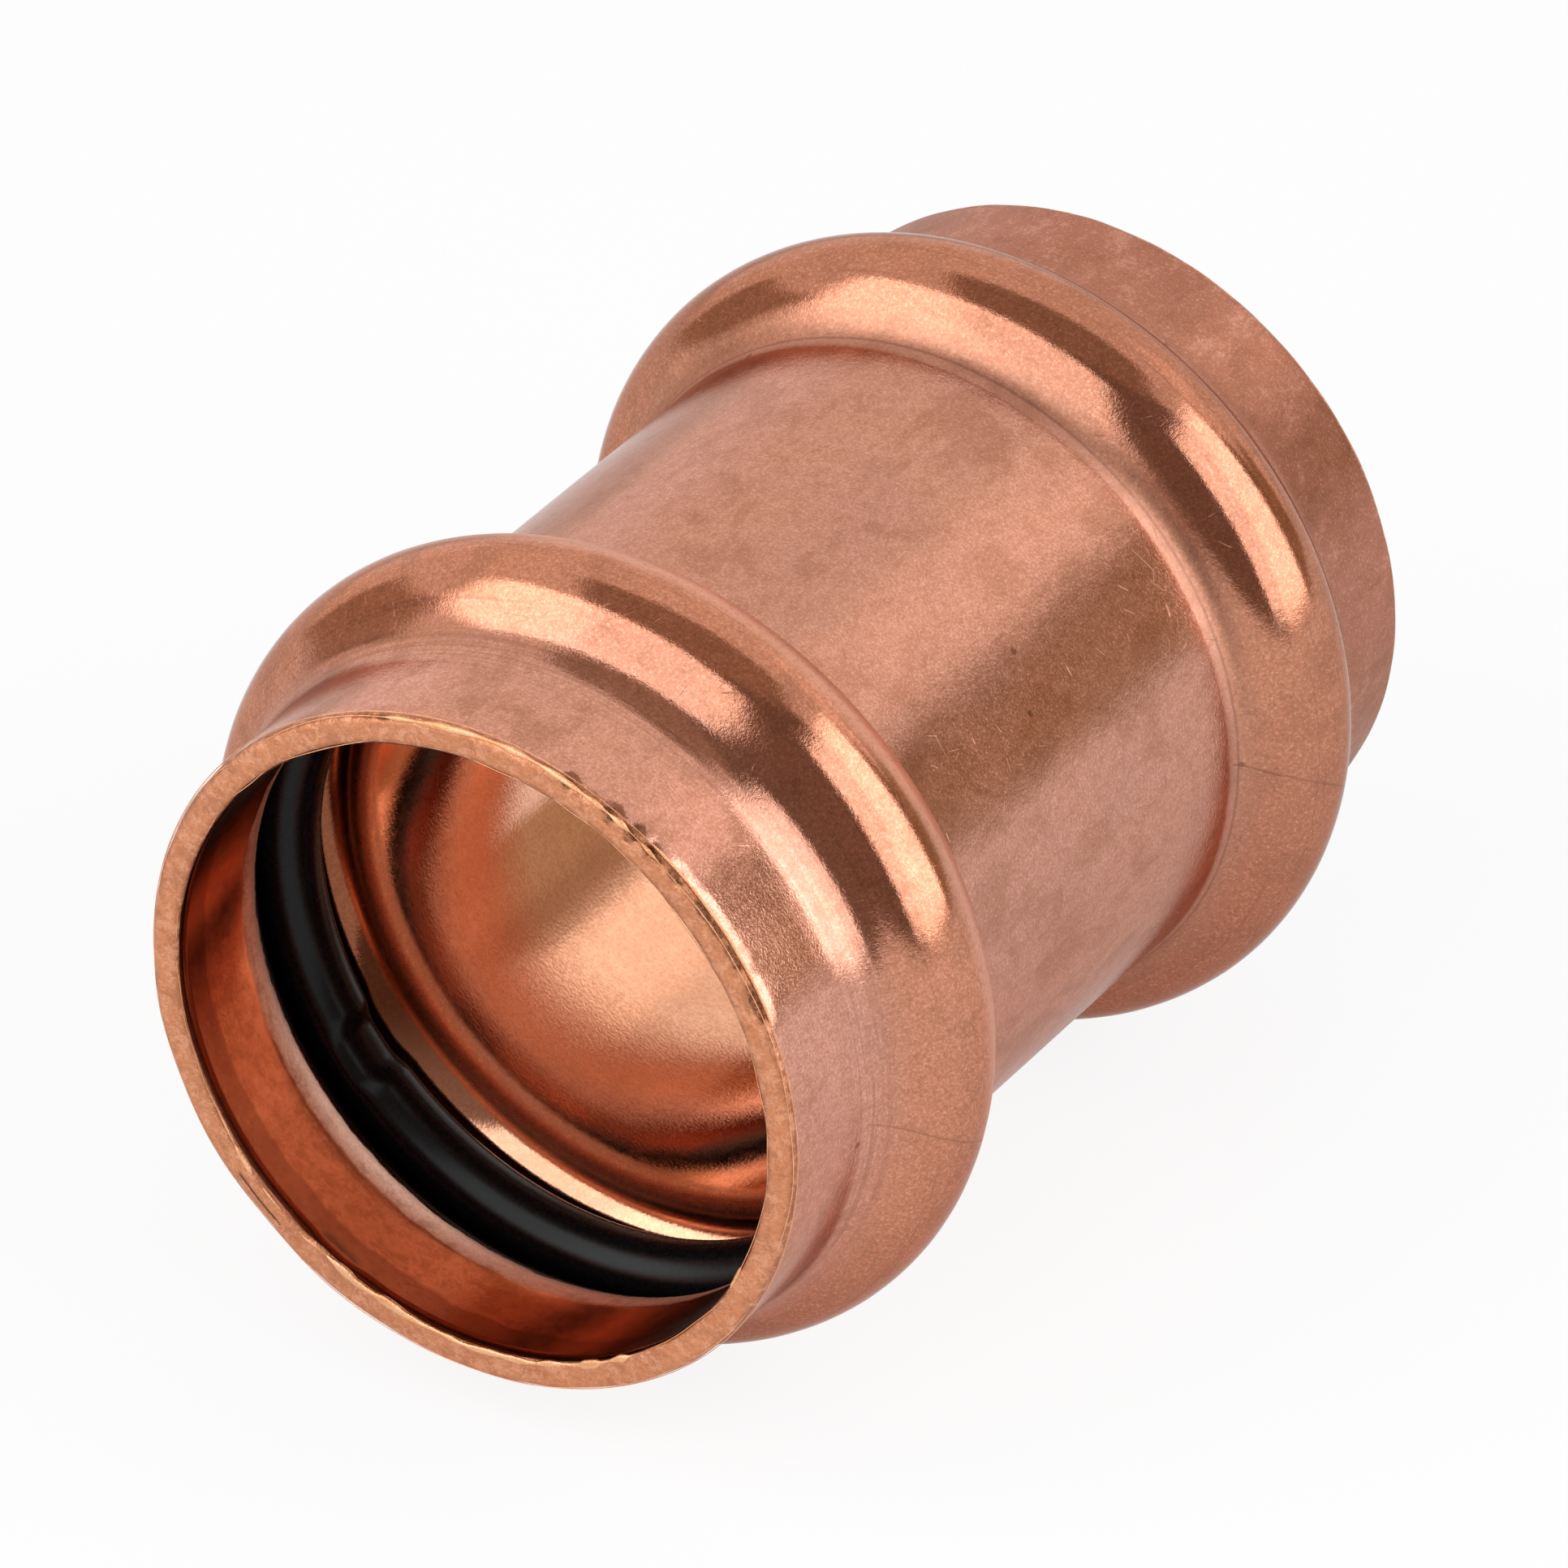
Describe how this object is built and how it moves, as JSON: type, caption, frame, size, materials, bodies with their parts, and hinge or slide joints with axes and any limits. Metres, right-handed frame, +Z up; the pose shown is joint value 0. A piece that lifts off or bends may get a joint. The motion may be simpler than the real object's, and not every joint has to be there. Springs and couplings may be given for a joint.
{
  "type": "straight press coupling",
  "caption": "Straight copper press coupling with equal ends: a tube with a rounded bead near each mouth and a black rubber seal ring inside each bead.",
  "frame": {"origin": "centre of the coupling, on its axis, half way between the two rims", "axes": "+Y along the axis from the front mouth to the rear mouth, +Z up with the coupling lying on its two beads"},
  "size_m": [0.0372, 0.0502, 0.0372],
  "materials": {
    "copper": "bare drawn copper, satin, lightly tarnished",
    "seal_rubber": "black, satin, lubricated"
  },
  "bodies": {
    "root": {"coupling_body": "copper", "front_seal_ring": "seal_rubber", "rear_seal_ring": "seal_rubber"}
  },
  "joints": []
}
